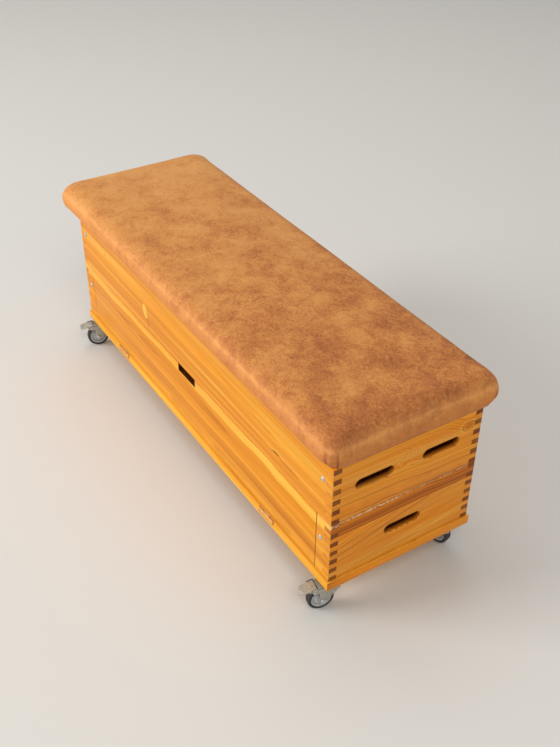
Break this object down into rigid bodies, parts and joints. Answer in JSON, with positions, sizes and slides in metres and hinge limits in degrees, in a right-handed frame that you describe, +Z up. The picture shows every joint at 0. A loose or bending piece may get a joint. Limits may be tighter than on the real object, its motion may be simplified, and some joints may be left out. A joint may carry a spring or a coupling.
{
  "type": "vaulting box",
  "caption": "Sectional wooden vaulting box with a suede padded top, finger-jointed corners and hand holes, used as a storage bench with a drop flap on braked swivel castors.",
  "frame": {"origin": "on the floor, under the middle of the box around the whole part", "axes": "+X along the box towards the end where the padding is flush with the frame, -Y is the side with the drop flap and the brake pedals, +Z up"},
  "size_m": [1.609, 0.5772, 0.5973],
  "materials": {
    "pine": "amber varnish, satin",
    "pine_end": "amber varnish, satin",
    "base_wood": "glossy amber varnish",
    "block_wood": "planed",
    "plywood": "bare plywood",
    "foam": "open foam",
    "suede": "worn suede",
    "zinc": "bright zinc plate",
    "brass": "lacquered",
    "wheel_plastic": "satin grey",
    "tyre_rubber": "matt dark grey"
  },
  "bodies": {
    "lower_section": {"base_board": "base_wood", "lower_rear_board": "pine", "lower_left_end": "pine_end", "lower_right_end": "pine_end", "lower_left_stile": "pine", "lower_right_stile": "pine", "lower_corner_block_front_left": "block_wood", "lower_corner_block_front_right": "block_wood", "lower_corner_block_rear_left": "block_wood", "lower_corner_block_rear_right": "block_wood", "lower_bolt_front_left": "zinc", "lower_bolt_front_right": "zinc", "lower_bolt_rear_left": "zinc", "lower_bolt_rear_right": "zinc", "castor_plate_front_left": "zinc", "castor_plate_front_right": "zinc", "castor_plate_rear_left": "zinc", "castor_plate_rear_right": "zinc", "left_hinge_base_leaf": "brass", "left_hinge_pin": "brass", "right_hinge_base_leaf": "brass", "right_hinge_pin": "brass"},
    "flap": {"drop_flap": "pine", "left_hinge_flap_leaf": "brass", "right_hinge_flap_leaf": "brass"},
    "top_section": {"upper_front_board": "pine", "upper_rear_board": "pine", "upper_left_end": "pine_end", "upper_right_end": "pine_end", "upper_corner_block_front_left": "block_wood", "upper_corner_block_front_right": "block_wood", "upper_corner_block_rear_left": "block_wood", "upper_corner_block_rear_right": "block_wood", "upper_bolt_front_left": "zinc", "upper_bolt_front_right": "zinc", "upper_bolt_rear_left": "zinc", "upper_bolt_rear_right": "zinc", "top_deck": "plywood", "foam_padding": "foam", "suede_cover": "suede"},
    "fork_front_left": {"castor_fork_front_left": "zinc", "castor_axle_front_left": "zinc", "brake_pin_front_left": "zinc"},
    "fork_front_right": {"castor_fork_front_right": "zinc", "castor_axle_front_right": "zinc", "brake_pin_front_right": "zinc"},
    "fork_rear_left": {"castor_fork_rear_left": "zinc", "castor_axle_rear_left": "zinc"},
    "fork_rear_right": {"castor_fork_rear_right": "zinc", "castor_axle_rear_right": "zinc"},
    "wheel_front_left": {"castor_wheel_front_left": "wheel_plastic", "castor_tyre_front_left": "tyre_rubber"},
    "wheel_front_right": {"castor_wheel_front_right": "wheel_plastic", "castor_tyre_front_right": "tyre_rubber"},
    "wheel_rear_left": {"castor_wheel_rear_left": "wheel_plastic", "castor_tyre_rear_left": "tyre_rubber"},
    "wheel_rear_right": {"castor_wheel_rear_right": "wheel_plastic", "castor_tyre_rear_right": "tyre_rubber"},
    "pedal_front_left": {"brake_pedal_front_left": "zinc"},
    "pedal_front_right": {"brake_pedal_front_right": "zinc"}
  },
  "joints": [
    {"name": "flap_hinge", "type": "hinge", "parent": "lower_section", "child": "flap", "pos_m": [0.0425, -0.23717, 0.122], "axis": [1, 0, 0], "range_deg": [0, 130]},
    {"name": "top_section_lift", "type": "slide", "parent": "lower_section", "child": "top_section", "axis": [0, 0, 1], "range_m": [0, 0.25]},
    {"name": "swivel_front_left", "type": "hinge", "parent": "lower_section", "child": "fork_front_left", "pos_m": [-0.6745, -0.20037, 0.09], "axis": [0, 0, 1], "continuous": true},
    {"name": "swivel_front_right", "type": "hinge", "parent": "lower_section", "child": "fork_front_right", "pos_m": [0.7595, -0.20037, 0.09], "axis": [0, 0, 1], "continuous": true},
    {"name": "swivel_rear_left", "type": "hinge", "parent": "lower_section", "child": "fork_rear_left", "pos_m": [-0.6745, 0.19563, 0.09], "axis": [0, 0, 1], "continuous": true},
    {"name": "swivel_rear_right", "type": "hinge", "parent": "lower_section", "child": "fork_rear_right", "pos_m": [0.7595, 0.19563, 0.09], "axis": [0, 0, 1], "continuous": true},
    {"name": "roll_front_left", "type": "hinge", "parent": "fork_front_left", "child": "wheel_front_left", "pos_m": [-0.68127, -0.22754, 0.0375], "axis": [0.9703, -0.2419, 0], "continuous": true},
    {"name": "roll_front_right", "type": "hinge", "parent": "fork_front_right", "child": "wheel_front_right", "pos_m": [0.75464, -0.22795, 0.0375], "axis": [0.9848, -0.1736, 0], "continuous": true},
    {"name": "roll_rear_left", "type": "hinge", "parent": "fork_rear_left", "child": "wheel_rear_left", "pos_m": [-0.70155, 0.18838, 0.0375], "axis": [0.2588, -0.9659, 0], "continuous": true},
    {"name": "roll_rear_right", "type": "hinge", "parent": "fork_rear_right", "child": "wheel_rear_right", "pos_m": [0.73193, 0.19076, 0.0375], "axis": [0.1736, -0.9848, 0], "continuous": true},
    {"name": "brake_front_left", "type": "hinge", "parent": "fork_front_left", "child": "pedal_front_left", "pos_m": [-0.6866, -0.24889, 0.076], "axis": [0.9703, -0.2419, 0], "range_deg": [0, 12]},
    {"name": "brake_front_right", "type": "hinge", "parent": "fork_front_right", "child": "pedal_front_right", "pos_m": [0.75082, -0.24961, 0.076], "axis": [0.9848, -0.1736, 0], "range_deg": [0, 12]}
  ]
}
